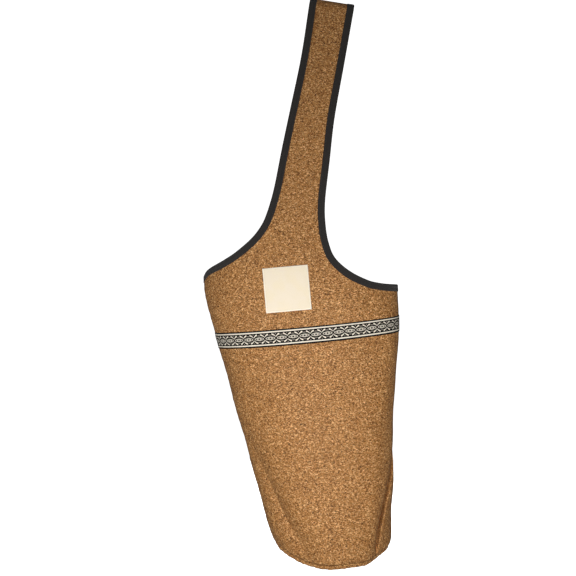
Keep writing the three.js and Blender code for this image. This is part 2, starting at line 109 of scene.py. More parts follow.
def form_row(path, z, row, deep):
    """One row of the whole form: the way up from the base seam, the height, and the shares."""
    return (path, z, row[1], row[2], row[3], math.radians(row[4]), row[5] * BODY_HEIGHT, deep, row[7], row[8])


form = []
for row in BODY_FORM:
    rise = row[0] * BODY_HEIGHT
    form.append(form_row(rise, (row[0] - 1) * BODY_HEIGHT - STRAP_DROP, row, row[6] * half_depth))
for row in STRAP_FORM:
    rise = row[0] * strap_length
    deep = hook_outer * math.cos(strap_fall) * (1 - row[6]) + half_depth * row[6]
    form.append(form_row(BODY_HEIGHT + rise, rise - STRAP_DROP, row, deep))
form = np.array(form)


def smooth(rows, at):
    """Smooth curves through the columns of rows, whose first column is the way along, read at some places."""
    step = np.diff(rows[:, 0])
    slope = np.diff(rows, axis=0) / step[:, None]
    inner = (slope[:-1] * step[1:, None] + slope[1:] * step[:-1, None]) / (step[:-1] + step[1:])[:, None]
    tangent = np.concatenate([slope[:1], inner, slope[-1:]])
    i = np.searchsorted(rows[1:-1, 0], at, side="left")
    t = ((at - rows[i, 0]) / step[i])[..., None]
    straight = rows[i] + (rows[i + 1] - rows[i]) * t * t * (3 - 2 * t)
    return straight + step[i][..., None] * t * (1 - t) * ((1 - t) * tangent[i] - t * tangent[i + 1])


def section_at(path):
    """The cross-section of the bag at some ways up it: a name for each size."""
    path = np.asarray(path, float)
    row = smooth(form, np.minimum(path, hook_path))
    width = BASE_WIDTH + (MOUTH_WIDTH - BASE_WIDTH) * row[..., 2]
    found = {
        "z": row[..., 1],
        "crest_x": -STRAP_LEAN * row[..., 3],
        "half_left": width * row[..., 4],
        "half_right": width * (1 - row[..., 4]),
        "tilt": row[..., 5],
        "sag": row[..., 6],
        "deep": row[..., 7],
        "round_left": row[..., 8],
        "round_right": row[..., 9],
    }
    turn = strap_fall + (path - hook_path) / hook_outer
    over = path > hook_path
    found["z"] = np.where(over, -HOOK_RADIUS + hook_outer * np.sin(turn), found["z"])
    found["deep"] = np.where(over, hook_outer * np.cos(turn), found["deep"])
    found["crest_x"] += np.where(over, (found["z"] - hook_z) * np.tan(-found["tilt"]), 0)
    return found


def fold_depth(side, section, across, path):
    """How deep the broad folds of a panel are."""
    depth = 0
    rise = path / BODY_HEIGHT
    for fold_side, top, low, high, bow, deep, left, right in FOLDS:
        if fold_side != side:
            continue
        share = np.clip(rise / top, 0, 1)
        line = low + (high - low) * share + bow * np.sin(math.pi * share)
        half = np.where(across < 0, section["half_left"], section["half_right"])
        away = (across - line) * half / (half_depth * np.where(across < line, left, right))
        depth = depth + deep * half_depth * (1 - share * share) * np.exp(-away * away)
    return depth


def face_point(side, angle, path):
    """The face of the bag, as in the CAD source. angle runs from 0 at the left seam to pi at the right."""
    angle, path = np.broadcast_arrays(np.asarray(angle, float), np.asarray(path, float))
    section = section_at(path)
    left = angle < math.pi / 2
    half = np.where(left, section["half_left"], section["half_right"])
    squareness = np.where(left, section["round_left"], section["round_right"])
    c, s = np.cos(angle), np.sin(angle)
    reach = (np.abs(c) ** squareness + np.abs(s) ** squareness) ** (-1 / squareness)
    across, out = -c * reach, s * reach
    dent = fold_depth(side, section, across, path) * np.clip(out * 2, 0, 1)
    x = section["crest_x"] + half * across
    y = side * (section["deep"] * out - dent)
    z = section["z"] + np.tan(section["tilt"]) * (x - section["crest_x"]) - section["sag"] * out
    return np.stack([x, y, z], axis=-1)


def face_slopes(side, angle, path):
    """The face's two directions, round the bag and up it."""
    turn, way = 0.01, 0.0005
    around = face_point(side, angle + turn, path) - face_point(side, angle - turn, path)
    up = face_point(side, angle, path + way) - face_point(side, angle, path - way)
    return around / (2 * turn), up / (2 * way)


def unit(vectors):
    return vectors / np.linalg.norm(vectors, axis=-1, keepdims=True)


def face_normal(side, angle, path):
    around, up = face_slopes(side, np.asarray(angle, float), np.minimum(path, top_path - 0.0005))
    return unit(np.cross(around, up) * -side)


# Creases as they are seen from the side they are on: side, skew, and points of x, z, depth and half width, in
# millimetres. Less than no depth is a ridge. The lap is the deep one, where the cloth laps over itself.
LAP = [
    (FRONT, 0.8, [(94, -520, 0, 2.0), (89.5, -575, 3.0, 2.0), (80, -630, 10.0, 2.0), (74, -655, 13.5, 2.0),
                  (67.5, -685, 15.0, 2.0), (63, -702, 14.5, 2.0), (59.6, -718, 13.0, 1.9),
                  (57.8, -733, 10.0, 1.8), (57.2, -741, 5.5, 1.8), (56.7, -749, 0.3, 1.7)]),
]
CREASES = [
    (FRONT, 1, [(98, -640, 0, 6), (92, -685, -0.5, 6), (86, -715, -2.0, 7), (80, -738, -2.2, 7),
                (70, -755, -0.4, 7)]),
    (FRONT, 1, [(-118, -580, 0, 9), (-108, -609, 2.4, 8), (-88, -653, 5.2, 7.5), (-75, -682, 6.4, 7),
                (-61, -708, 5.4, 7), (-46, -727, 2.8, 6), (-38, -739, 0.4, 6)]),
    (FRONT, 1, [(-101, -655, 0, 9), (-92, -690, -1.0, 9), (-74, -722, -1.2, 8), (-62, -738, -0.5, 8)]),
    (FRONT, 1, [(44, -363, 0, 5), (48, -385, 1.2, 4), (46, -410, 1.1, 5), (42, -438, 0, 6)]),
    (FRONT, 1, [(-160, -392, 0, 6), (-146, -418, 0.6, 6), (-138, -450, 0, 8)]),
    (BACK, 1, [(70, -500, 0, 5), (62, -570, 1.8, 3.0), (50, -650, 2.8, 2.4), (40, -720, 2.0, 2.4),
               (38, -744, 0.5, 3)]),
    (BACK, 1, [(-112, -560, 0, 8), (-92, -630, 1.8, 7), (-66, -700, 2.4, 6), (-52, -738, 0.8, 5)]),
    (BACK, 1, [(-20, -368, 0, 7), (-12, -400, 0.9, 6), (-10, -440, 0, 8)]),
]
CREASE_FALL = 1.3  # how sharply a crease ends at its sides: 2 is a round hollow, and 1 a sharp one


def crease_depth(side, x, z, creases):
    """How deep the creases are at a place as it is seen from ahead."""
    total = np.zeros_like(x)
    for crease_side, skew, points in creases:
        if crease_side != side:
            continue
        line = np.array(points, float) / 1000
        best = np.full(x.shape, np.inf)
        found = np.zeros_like(x)
        for a, b in zip(line[:-1], line[1:], strict=True):
            run = b[:2] - a[:2]
            t = np.clip(((x - a[0]) * run[0] + (z - a[1]) * run[1]) / (run @ run), 0, 1)
            away = np.hypot(x - a[0] - t * run[0], z - a[1] - t * run[1])
            depth = a[2] + (b[2] - a[2]) * t
            is_left = (x - a[0]) * run[1] - (z - a[1]) * run[0] > 0
            wide = (a[3] + (b[3] - a[3]) * t) * np.where(is_left, 1 / skew, skew)
            found = np.where(away < best, depth * np.exp(-((away / wide) ** CREASE_FALL)), found)
            best = np.minimum(best, away)
        total += found
    return total


def ripple(at, lengths, shift):
    """An uneven wave of a few lengths, the same each time, from -1 to 1."""
    waves = [np.sin(2 * math.pi * at / length + shift * (i + 1.7)) for i, length in enumerate(lengths)]
    return sum(waves) / len(lengths)


BROAD_WAVES = 0.0014  # how far the cloth's slack waves stand out, at most
BASE_GATHERS = 0.00055  # the gathers along the base seam
SIDE_PUCKERS = 0.0005  # the puckers along the side seams
SEAM_DIP = 0.0011  # how far the cloth turns in at a seam


def relief(side, base, path, at_seam=True):
    """How far the real cloth stands out from the plain face: waves, creases, and gathers at the seams."""
    x, y, z = base[..., 0], np.abs(base[..., 1]), base[..., 2]
    on_body = np.clip((BODY_HEIGHT + 0.05 - path) / 0.06, 0, 1)
    height = -ripple(x + 0.35 * z, (0.118, 0.071), 1.3 * side) * ripple(z - 0.2 * x, (0.167, 0.093), 2.1)
    height = height * BROAD_WAVES * on_body - crease_depth(side, x, z, CREASES)
    by_base = np.exp(-path / 0.011)
    height += BASE_GATHERS * by_base * ripple(x + 0.6 * y, (0.0117, 0.0083, 0.0189), 0.7 * side)
    by_side = np.exp(-y / 0.009) * on_body * np.clip(path / 0.03, 0, 1)
    height += SIDE_PUCKERS * by_side * ripple(z, (0.0139, 0.0093, 0.0211), 1.9)
    if at_seam:
        height -= SEAM_DIP * (np.exp(-((y / 0.0013) ** 2)) + np.exp(-((path / 0.0014) ** 2)))
    return height


BELLY_DROP, RIGHT_DROP = 0.0034, 0.0016
LEFT_CORNER_RISE, RIGHT_CORNER_RISE = 0.0055, 0.0045
FOOT_REACH = 0.04  # how far up the bag its foot's settling fades


def settled(x, share):
    """How far down the load has pulled the foot of the bag: more under the belly, less at its two corners."""
    belly = BELLY_DROP * np.exp(-(((x + 0.024) / 0.036) ** 2))
    belly += RIGHT_DROP * np.exp(-(((x - 0.044) / 0.016) ** 2))
    corners = LEFT_CORNER_RISE * np.clip((-0.04 - x) / 0.035, 0, 1)
    corners += RIGHT_CORNER_RISE * np.clip((x - 0.048) / 0.022, 0, 1)
    return (belly - corners) * share


def cloth_point(side, angle, path, lift=0.0, at_seam=True):
    """A place on the real cloth, or lift in front of it."""
    base = face_point(side, angle, path)
    out = relief(side, base, path, at_seam) + lift
    point = base + face_normal(side, angle, path) * out[..., None]
    point[..., 1] += side * (SEAM_GAP / 2 - crease_depth(side, base[..., 0], base[..., 2], LAP))
    point[..., 2] -= settled(point[..., 0], np.exp(-np.asarray(path) / FOOT_REACH))
    return point


def edge_places(cut, is_left, counts):
    """Places along a raw edge, from the side seam to the top seam: even steps round the shoulder, then up the
    strap, then over the hook, as many as counts says."""
    cut = np.array([(step, *row) for step, row in enumerate(cut)], float)

    def place(step, path=None):
        row = smooth(cut, step)
        path = BODY_HEIGHT + strap_length * row[..., 1] if path is None else path
        section = section_at(path)
        half = section["half_left"] if is_left else section["half_right"]
        squareness = section["round_left"] if is_left else section["round_right"]
        plain = STRAP_WIDTH / 2 * np.cos(section["tilt"])
        share = np.clip((plain + (half - plain) * row[..., 2]) / half, 0, 1)
        angle = np.arctan((share**-squareness - 1) ** (1 / squareness))
        return np.stack([angle if is_left else math.pi - angle, path], axis=-1)

    shoulder_step, last = 7, len(cut) - 1
    found = []
    for low, high, count in ((0, shoulder_step, counts[0]), (shoulder_step, last, counts[1])):
        steps = np.linspace(low, high, 600)
        line = face_point(FRONT, *place(steps).T)
        run = np.concatenate([[0], np.cumsum(np.linalg.norm(np.diff(line, axis=0), axis=1))])
        found.append(place(np.interp(np.arange(count) / count * run[-1], run, steps)))
    over = np.linspace(hook_path, top_path, counts[2] + 1)
    found.append(place(np.full(over.shape, float(last)), over))
    return np.concatenate(found)


def walk(side, places, direction, distance):
    """Walks over the face from some places, each in its own direction."""
    steps = 6
    places, heading = places.copy(), direction.copy()
    for _ in range(steps):
        around, up = face_slopes(side, places[:, 0], places[:, 1])
        normal = unit(np.cross(around, up))
        heading = unit(heading - normal * (heading * normal).sum(-1, keepdims=True))
        a, b, c = (around * around).sum(-1), (around * up).sum(-1), (up * up).sum(-1)
        u, v = (around * heading).sum(-1), (up * heading).sum(-1)
        places[:, 0] += distance / steps * (c * u - b * v) / (a * c - b * b)
        places[:, 1] += distance / steps * (a * v - b * u) / (a * c - b * b)
    return places


def raw_edge(side, is_left, counts):
    """A panel's raw edge: its places, the ways into the panel, and the places under the tape's inner edge."""
    places = edge_places(LEFT_CUT if is_left else RIGHT_CUT, is_left, counts)
    points = face_point(side, places[:, 0], places[:, 1])
    along = np.concatenate([points[1:2] - points[:1], points[2:] - points[:-2], points[-1:] - points[-2:-1]])
    along[0] = (0, side, 0)
    handed = (1 if is_left else -1) * -side
    inward = unit(np.cross(unit(along), face_normal(side, places[:, 0], places[:, 1])) * handed)
    hems = walk(side, places, inward, BINDING_LEG)
    hems[0, 0] = places[0, 0]
    hems[-1, 1] = places[-1, 1]
    return {"places": places, "inward": inward, "hems": hems}


CUTS = (118, 84, 10)  # round a shoulder, up the strap, and over the hook
edges = {
    (side, is_left): raw_edge(side, is_left, CUTS) for side in (FRONT, BACK) for is_left in (True, False)
}


def mixed(a, b, share):
    return a + (b - a) * share


LAP_HOME = 0.84  # the share of the front's columns that lie left of the lap
CROWDING = 0.75  # how much closer together the columns stand at the lap
CROWD_WIDTH = 0.035  # the share of the columns that are crowded


def crowded(row, weight):
    """A row of places of the front's body, with its columns crowded round the lap, so that they draw it."""
    x, _, z = face_point(FRONT, row[:, 0], row[:, 1]).T
    line = np.array([point[:2] for point in LAP[0][2]])[::-1] / 1000
    past = x - np.interp(z, line[:, 1], line[:, 0])
    last = len(row) - 1
    right_half = np.arange(last // 2, last + 1)
    lap = min(np.interp(0, past[right_half], right_half) / last, 0.97)
    share = np.linspace(0, 1, last + 1)
    near = share - LAP_HOME
    near = near * (1 - CROWDING * np.exp(-((near / CROWD_WIDTH) ** 2)))
    moved = lap + near * np.where(near < 0, lap / LAP_HOME, (1 - lap) / (1 - LAP_HOME))
    at = (share + (moved - share) * weight) * last
    return np.stack([np.interp(at, np.arange(last + 1), row[:, k]) for k in (0, 1)], axis=-1)


BODY_ROWS = 150
STRAP_COLUMNS = 34


def panel_blocks(side):
    """Grids of places that make up a panel: the body, the strap, and the strips under the two bindings."""
    left, right = edges[side, True], edges[side, False]
    shoulder = CUTS[0]
    across = np.linspace(0, 1, STRAP_COLUMNS + 1)[:, None]
    strap = [
        np.concatenate([
            left["places"][i : i + 1],
            mixed(left["hems"][i], right["hems"][i], across),
            right["places"][i : i + 1],
        ])
        for i in range(shoulder, len(left["places"]))
    ]
    ends = np.concatenate([left["hems"][:shoulder], strap[0][1:-1], right["hems"][:shoulder][::-1]])
    foot = np.stack([np.linspace(0, math.pi, len(ends)), np.zeros(len(ends))], axis=-1)
    body = np.array([mixed(foot, ends, i / BODY_ROWS) for i in range(BODY_ROWS + 1)])
    if side == FRONT:
        weights = np.clip(np.linspace(2.5, 0, BODY_ROWS + 1), 0, 1)
        body = np.array([crowded(row, weight) for row, weight in zip(body, weights, strict=True)])
    strips = [
        np.array([left["hems"][: shoulder + 1], left["places"][: shoulder + 1]]),
        np.array([right["hems"][: shoulder + 1][::-1], right["places"][: shoulder + 1][::-1]]),
    ]
    return [body, np.array(strap), *strips]


def grid_faces(rows, columns, start, turned):
    """The faces of a grid of points, with the numbers of their corners."""
    number = start + np.arange(rows * columns).reshape(rows, columns)
    faces = np.stack([number[:-1, :-1], number[:-1, 1:], number[1:, 1:], number[1:, :-1]], axis=-1)
    faces = faces.reshape(-1, 4)
    return faces[:, ::-1] if turned else faces


def sheet_object(name, grids, turned, thickness, materials):
    """A piece from grids of (points, flat places), with the doubled points merged, a wall behind its outer
    face, and a UV map of the flat places in metres."""
    points, flats, faces = [], [], []
    start = 0
    for grid, flat in grids:
        faces.append(grid_faces(*grid.shape[:2], start, turned))
        points.append(grid.reshape(-1, 3))
        flats.append(flat.reshape(-1, 2))
        start += grid.shape[0] * grid.shape[1]
    points, flats, faces = np.concatenate(points), np.concatenate(flats), np.concatenate(faces)
    mesh = bpy.data.meshes.new(name)
    mesh.from_pydata(points.tolist(), [], faces.tolist())
    uv = mesh.uv_layers.new(name="flat")
    corners = np.zeros(len(mesh.loops), np.int32)
    mesh.loops.foreach_get("vertex_index", corners)
    uv.data.foreach_set("uv", flats[corners].astype(np.float32).ravel())
    edit = bmesh.new()
    edit.from_mesh(mesh)
    bmesh.ops.remove_doubles(edit, verts=edit.verts, dist=1e-5)
    edit.to_mesh(mesh)
    edit.free()
    mesh.shade_smooth()
    piece = bpy.data.objects.new(name, mesh)
    bpy.context.scene.collection.objects.link(piece)
    for material in materials:
        mesh.materials.append(material)
    if thickness:
        wall = piece.modifiers.new("wall", "SOLIDIFY")
        wall.thickness = thickness
        wall.offset = -1
        wall.material_offset = len(materials) - 1
        apply_modifier(piece, "wall")
    return piece


def apply_modifier(piece, name):
    for other in bpy.context.selected_objects:
        other.select_set(False)
    bpy.context.view_layer.objects.active = piece
    piece.select_set(True)
    bpy.ops.object.modifier_apply(modifier=name)
    piece.select_set(False)


def linear(code):
    """A colour from its sRGB hex value."""
    shares = [int(code[i : i + 2], 16) / 255 for i in (1, 3, 5)]
    return (*[s / 12.92 if s <= 0.04045 else ((s + 0.055) / 1.055) ** 2.4 for s in shares], 1.0)


def node(tree, kind, settings, inputs):
    """Adds a node: its settings by name, and each input a plain value or another node's output."""
    made = tree.nodes.new(kind)
    for name, value in settings.items():
        setattr(made, name, value)
    for key, value in inputs.items():
        if isinstance(value, bpy.types.NodeSocket):
            tree.links.new(value, made.inputs[key])
        else:
            made.inputs[key].default_value = value
    return made.outputs


def new_material(name, **sockets):
    """A material whose shader has these plain values, and its node tree and shader."""
    material = bpy.data.materials.new(name)
    material.use_nodes = True
    tree = material.node_tree
    shader = next(n for n in tree.nodes if n.type == "BSDF_PRINCIPLED")
    for key, value in sockets.items():
        shader.inputs[key.replace("_", " ")].default_value = value
    return material, tree, shader


def layered_colour(tree, colour, layers):
    """A colour with others laid over it. Each one covers at most its share, where its value has gone from low
    to high."""
    tone = linear(colour)
    for value, low, high, most, over in layers:
        share = node(
            tree, "ShaderNodeMapRange", {"interpolation_type": "SMOOTHSTEP"},
            {0: value, 1: low, 2: high, 3: 0.0, 4: most},
        )[0]
        tone = node(tree, "ShaderNodeMix", {"data_type": "RGBA"}, {0: share, 6: tone, 7: linear(over)})[2]
    return tone


def flat_ways(tree):
    """The two ways over a piece's flat cut, in metres."""
    flat = node(tree, "ShaderNodeUVMap", {"uv_map": "flat"}, {})[0]
    return node(tree, "ShaderNodeSeparateXYZ", {}, {0: flat})


def plain_weave(tree, flat, warp_mm, weft_mm):
    """The rise and fall of a plain weave, from -1 to 1, over repeats of two threads each way."""
    threads = []
    for way, repeat in ((flat[0], warp_mm), (flat[1], weft_mm)):
        full_turns = 2000 * math.pi / repeat
        turn = node(tree, "ShaderNodeMath", {"operation": "MULTIPLY"}, {0: way, 1: full_turns})[0]
        threads.append(node(tree, "ShaderNodeMath", {"operation": "SINE"}, {0: turn})[0])
    return node(tree, "ShaderNodeMath", {"operation": "MULTIPLY"}, {0: threads[0], 1: threads[1]})[0]


# Cork cloth, cork skin pressed from granules 1 to 3 mm across and waxed: a warm tan, mottled with worm-like
# pale and dark grains, matt with a faint waxy gloss, and slightly pitted where a grain has fallen out.
GRAIN_MM = 1.7
GRANULE_MM = 2.3
PALE_GRAIN_MM = 2.2
DARK_GRAIN_MM = 2.0
BOARD_MM = 60  # the slow change of tone over a sheet of cork
cork, tree, shader = new_material("cork_cloth_waxed", Roughness=0.68, IOR=1.45, Specular_IOR_Level=0.3)
place = node(tree, "ShaderNodeTexCoord", {}, {})[3]
place = node(tree, "ShaderNodeMapping", {}, {"Vector": place, "Scale": (0.95, 0.95, 1.4)})[0]
grain = node(
    tree, "ShaderNodeTexNoise", {},
    {"Vector": place, "Scale": 1000 / GRAIN_MM, "Detail": 2.0, "Roughness": 0.55, "Distortion": 0.9},
)[0]
granule = node(
    tree, "ShaderNodeTexVoronoi", {"feature": "F1"},
    {"Vector": place, "Scale": 1000 / GRANULE_MM, "Randomness": 1.0},
)
granule_tone = node(tree, "ShaderNodeSeparateColor", {}, {0: granule[1]})[0]
pale = node(
    tree, "ShaderNodeTexNoise", {},
    {"Vector": place, "Scale": 1000 / PALE_GRAIN_MM, "Detail": 1.0, "Roughness": 0.5, "Distortion": 1.2},
)[0]
dark = node(
    tree, "ShaderNodeTexNoise", {"noise_dimensions": "4D"},
    {
        "Vector": place, "W": 3.7, "Scale": 1000 / DARK_GRAIN_MM, "Detail": 1.0, "Roughness": 0.5,
        "Distortion": 1.0,
    },
)[0]
board = node(
    tree, "ShaderNodeTexNoise", {},
    {"Vector": place, "Scale": 1000 / BOARD_MM, "Detail": 2.0, "Roughness": 0.5},
)[0]
tone = layered_colour(tree, "#623a16", [
    (grain, 0.39, 0.61, 1.0, "#c38a4f"),
    (granule_tone, 0.0, 1.0, 0.25, "#a06b39"),
    (pale, 0.55, 0.66, 0.95, "#eebb7d"),
    (dark, 0.44, 0.33, 0.9, "#3a1f0a"),
    (board, 0.35, 0.65, 0.07, "#7d522a"),
])
tree.links.new(tone, shader.inputs["Base Color"])
pits = node(
    tree, "ShaderNodeMapRange", {"interpolation_type": "SMOOTHSTEP"},
    {0: dark, 1: 0.42, 2: 0.31, 3: 0.0, 4: -0.4},
)[0]
pits = node(tree, "ShaderNodeMath", {"operation": "ADD"}, {0: grain, 1: pits})[0]
bump = node(tree, "ShaderNodeBump", {}, {"Strength": 0.5, "Distance": 0.0004, "Height": pits})[0]
tree.links.new(bump, shader.inputs["Normal"])

# The cotton backing that the cork is glued to: an unbleached plain weave, matt, with threads 0.45 mm apart.
WEAVE_MM = 0.9  # two threads
backing, tree, shader = new_material("cotton_backing_plain_weave", Roughness=0.92)
weave = plain_weave(tree, flat_ways(tree), WEAVE_MM, WEAVE_MM)
slub = node(
    tree, "ShaderNodeTexNoise", {}, {"Vector": node(tree, "ShaderNodeTexCoord", {}, {})[3], "Scale": 90.0}
)[0]
tone = layered_colour(tree, "#a48f6f", [
    (weave, -1.0, 1.0, 1.0, "#c7b596"),
    (slub, 0.35, 0.65, 0.3, "#b09a78"),
])
tree.links.new(tone, shader.inputs["Base Color"])
bump = node(tree, "ShaderNodeBump", {}, {"Strength": 0.5, "Distance": 0.0002, "Height": weave})[0]
tree.links.new(bump, shader.inputs["Normal"])


def flat_places(side, block):
    """Where a grid of places lies on the flat cut: the way round from the crest, and the way up."""
    points = face_point(side, block[..., 0], block[..., 1])
    middle = face_point(side, np.full(block.shape[:2], math.pi / 2), block[..., 1])
    away = np.linalg.norm(points - middle, axis=-1) * np.sign(block[..., 0] - math.pi / 2)
    return np.stack([away, block[..., 1]], axis=-1)


for side, name, node_name in (
    (FRONT, "front_panel_cloth", "front_panel"),
    (BACK, "back_panel_cloth", "back_panel"),
):
    grids = []
    for block in panel_blocks(side):
        grids.append((cloth_point(side, block[..., 0], block[..., 1]), flat_places(side, block)))
    panel = sheet_object(name, grids, side == BACK, CORK_CLOTH, [cork, backing])
    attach(panel, "root")
    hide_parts(node_name)

# The seam allowances.
# The panels are sewn inside out, so their edges stand inside the bag, pressed flat together, with the cotton
# outside. A strip of the cloth backs the seam over the top of the strap, between the two bindings.

ALLOWANCE = 0.007
ALLOWANCE_CLEAR = 0.0001  # between the panel and what is sewn behind it
for name, seam_angle, inward in (("left_seam_allowance", 0.0, 1), ("right_seam_allowance", math.pi, -1)):
    paths = np.linspace(0.004, BODY_HEIGHT - BINDING_LEG - 0.004, 96)
    line = cloth_point(FRONT, np.full(paths.shape, seam_angle), paths, -CORK_CLOTH - ALLOWANCE_CLEAR)
    away, _ = np.meshgrid(np.array([0, 0.3, 0.7, 1]) * ALLOWANCE, paths)
    grid = np.repeat(line[:, None], 4, axis=1)
    grid[..., 0] += inward * away
    grid[..., 1] = -inward * (CORK_CLOTH - ALLOWANCE_CLEAR)
    flat = np.stack([away, np.repeat(paths[:, None], 4, axis=1)], axis=-1)
    allowance = sheet_object(name, [(grid, flat)], False, 2 * (CORK_CLOTH - ALLOWANCE_CLEAR), [backing])
    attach(allowance, "root")

ends = [edges[FRONT, is_left]["hems"][-1, 0] for is_left in (True, False)]
strip_angles = mixed(ends[0], ends[1], np.linspace(0.006, 0.994, 25))
strip_paths = np.linspace(top_path - ALLOWANCE + 0.001, top_path, 8)
strip = np.array([
    cloth_point(side, strip_angles, np.full(strip_angles.shape, path), -CORK_CLOTH - ALLOWANCE_CLEAR)
    for side, paths in ((FRONT, strip_paths), (BACK, strip_paths[-2::-1]))
    for path in paths
])
seam_backing = sheet_object("strap_seam_backing", [(strip, strip[..., :2])], False, CORK_CLOTH, [backing])
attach(seam_backing, "root")

# The base.
# One oval of the same cork cloth, sewn to the foot of both panels inside out. The load presses it out below
# the seam into a shallow dish, and the stitching gathers its rim.

BASE_DOME = 0.012
BASE_GATHER = 0.0006
BASE_RINGS = 40
HALF_ROUND = 120  # steps from one side seam to the other
base_angles = np.linspace(0, math.pi, HALF_ROUND + 1)
rim = np.concatenate([
    cloth_point(FRONT, base_angles[:-1], np.zeros(HALF_ROUND)),
    cloth_point(BACK, base_angles[::-1][:-1], np.zeros(HALF_ROUND)),
])
middle = section_at(0.0)
middle = np.array([middle["crest_x"], 0, middle["z"]])
share = np.sin(np.linspace(0, math.pi / 2, BASE_RINGS + 1))[:, None]
rim_loop = np.concatenate([rim, rim[:1]])
rim_loop[:, 2] += settled(rim_loop[:, 0], 1.0)
away = np.linalg.norm(rim_loop - middle, axis=-1)[None, :] * share
to_rim = np.linalg.norm(rim_loop - middle, axis=-1)[None, :] - away
way_round = np.concatenate([[0], np.cumsum(np.linalg.norm(np.diff(rim_loop, axis=0), axis=1))])
drop = BASE_DOME * np.sqrt(np.maximum(1 - share**2, 0)) + SEAM_GAP + WALL * (1 - np.exp(-to_rim / 0.0015))
dish = middle + (rim_loop - middle)[None] * share[..., None]
puff = 0.0011 * (1 - np.exp(-((to_rim / 0.0016) ** 2))) * share
dish += unit(rim_loop - middle)[None] * puff[..., None]
gathers = BASE_GATHER * np.exp(-to_rim / 0.008) * ripple(way_round, (0.0103, 0.0078, 0.017), 2.3)[None, :]
dish[..., 2] -= drop + gathers * np.clip(to_rim / 0.002, 0, 1)
dish[..., 2] -= settled(dish[..., 0], 1.0)
waves = ripple(dish[..., 0], (0.083, 0.047), 0.4) * ripple(dish[..., 1], (0.069, 0.041), 1.2)
dish[..., 2] += BASE_GATHER * share * (1 - share) * 4 * waves
flat = (dish - middle)[..., :2]
base = sheet_object("base_cloth", [(dish, flat)], False, CORK_CLOTH, [cork, backing])
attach(base, "root")
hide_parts("base_panel")

# The bindings of the two raw edges.
# Black cotton twill tape folded over the edge of the cork, up the front, over the hook and down the back, and
# sewn through with one row of black thread near its inner edge.

TAPE = 0.0006
TAPE_CLEAR = 0.00012
TAPE_SEWN_AT = 0.82  # the share of the way from the raw edge to the tape's inner edge


def tape_profile():
    """The tape's section, a closed U: share of the way to the inner edge, lift, and way past the raw edge."""
    over, under = TAPE_CLEAR + TAPE, -CORK_CLOTH - TAPE_CLEAR
    rows = [(1.0, TAPE_CLEAR, 0), (1.0, over * 0.75, 0), (0.975, over, 0), (0.88, over, 0)]
    rows += [(TAPE_SEWN_AT, over * 0.7, 0)]
    rows += [(0.75, over, 0), (0.5, over * 1.06, 0), (0.25, over * 1.06, 0), (0.06, over, 0)]
    middle, radius = -CORK_CLOTH / 2, CORK_CLOTH / 2 + over
    for turn in np.linspace(0, math.pi, 7):
        rows.append((0.0, middle + radius * math.cos(turn), radius * math.sin(turn)))
    back = under - TAPE
    rows += [(0.06, back, 0), (0.3, back, 0), (0.75, back, 0), (TAPE_SEWN_AT, back * 0.94, 0)]
    rows += [(0.88, back, 0), (0.975, back, 0), (1.0, back * 0.9, 0), (1.0, under, 0), (0.5, under, 0)]
    rows += [(0.0, under, 0), (0.0, middle, TAPE_CLEAR * 2), (0.0, TAPE_CLEAR, 0), (0.5, TAPE_CLEAR, 0)]
    return rows


def tape_rings(side, is_left):
    """The tape's sections along one raw edge of one panel."""
    edge = edges[side, is_left]
    rings = []
    for share, lift, out in tape_profile():
        places = mixed(edge["places"], edge["hems"], share)
        points = cloth_point(side, places[:, 0], places[:, 1], lift, at_seam=False)
        points[[0, -1], 1] -= side * SEAM_GAP / 2
        rings.append(points - edge["inward"] * out)
    return np.stack(rings, axis=1)


# Cotton twill tape, dyed black: a soft dull black with lint; its slanting ribs have a painted grey highlight.
# The ribs are 0.6 mm apart, and are drawn 1.2 mm apart, so that they show. They turn back every 2.4 mm, in a
# herringbone.
RIB_MM = 1.2
HERRINGBONE = 0.0024
twill, tree, shader = new_material(
    "cotton_twill_tape_black", Roughness=0.88, Sheen_Weight=0.12, Specular_IOR_Level=0.25
)
flat = flat_ways(tree)
across = node(tree, "ShaderNodeMath", {"operation": "PINGPONG"}, {0: flat[1], 1: HERRINGBONE})[0]
lean = node(tree, "ShaderNodeMath", {"operation": "ADD"}, {0: flat[0], 1: across})[0]
rib = node(tree, "ShaderNodeMath", {"operation": "MULTIPLY"}, {0: lean, 1: 2000 * math.pi / RIB_MM})[0]
rib = node(tree, "ShaderNodeMath", {"operation": "SINE"}, {0: rib})[0]
lint = node(
    tree, "ShaderNodeTexNoise", {},
    {"Vector": node(tree, "ShaderNodeTexCoord", {}, {})[3], "Scale": 700.0, "Detail": 2.0},
)[0]
# The grey along the ribs is a painted highlight on their crests; the lint flecks are the tape's own colour.
tone = layered_colour(tree, "#1f1d1c", [(rib, -0.9, 0.9, 1.0, "#36322f"), (lint, 0.6, 0.8, 0.5, "#57514b")])
tree.links.new(tone, shader.inputs["Base Color"])
bump = node(tree, "ShaderNodeBump", {}, {"Strength": 0.6, "Distance": 0.0003, "Height": rib})[0]
tree.links.new(bump, shader.inputs["Normal"])

# Polyester sewing thread, black: a twisted thread with a faint gloss, its plies 0.4 mm apart.
PLY_SCALE = 2600.0
black_thread, tree, shader = new_material("polyester_thread_black", Roughness=0.5)
lay = node(
    tree, "ShaderNodeTexNoise", {},
    {"Vector": node(tree, "ShaderNodeTexCoord", {}, {})[3], "Scale": PLY_SCALE},
)[0]
tone = layered_colour(tree, "#141210", [(lay, 0.35, 0.65, 1.0, "#37322e")])
tree.links.new(tone, shader.inputs["Base Color"])


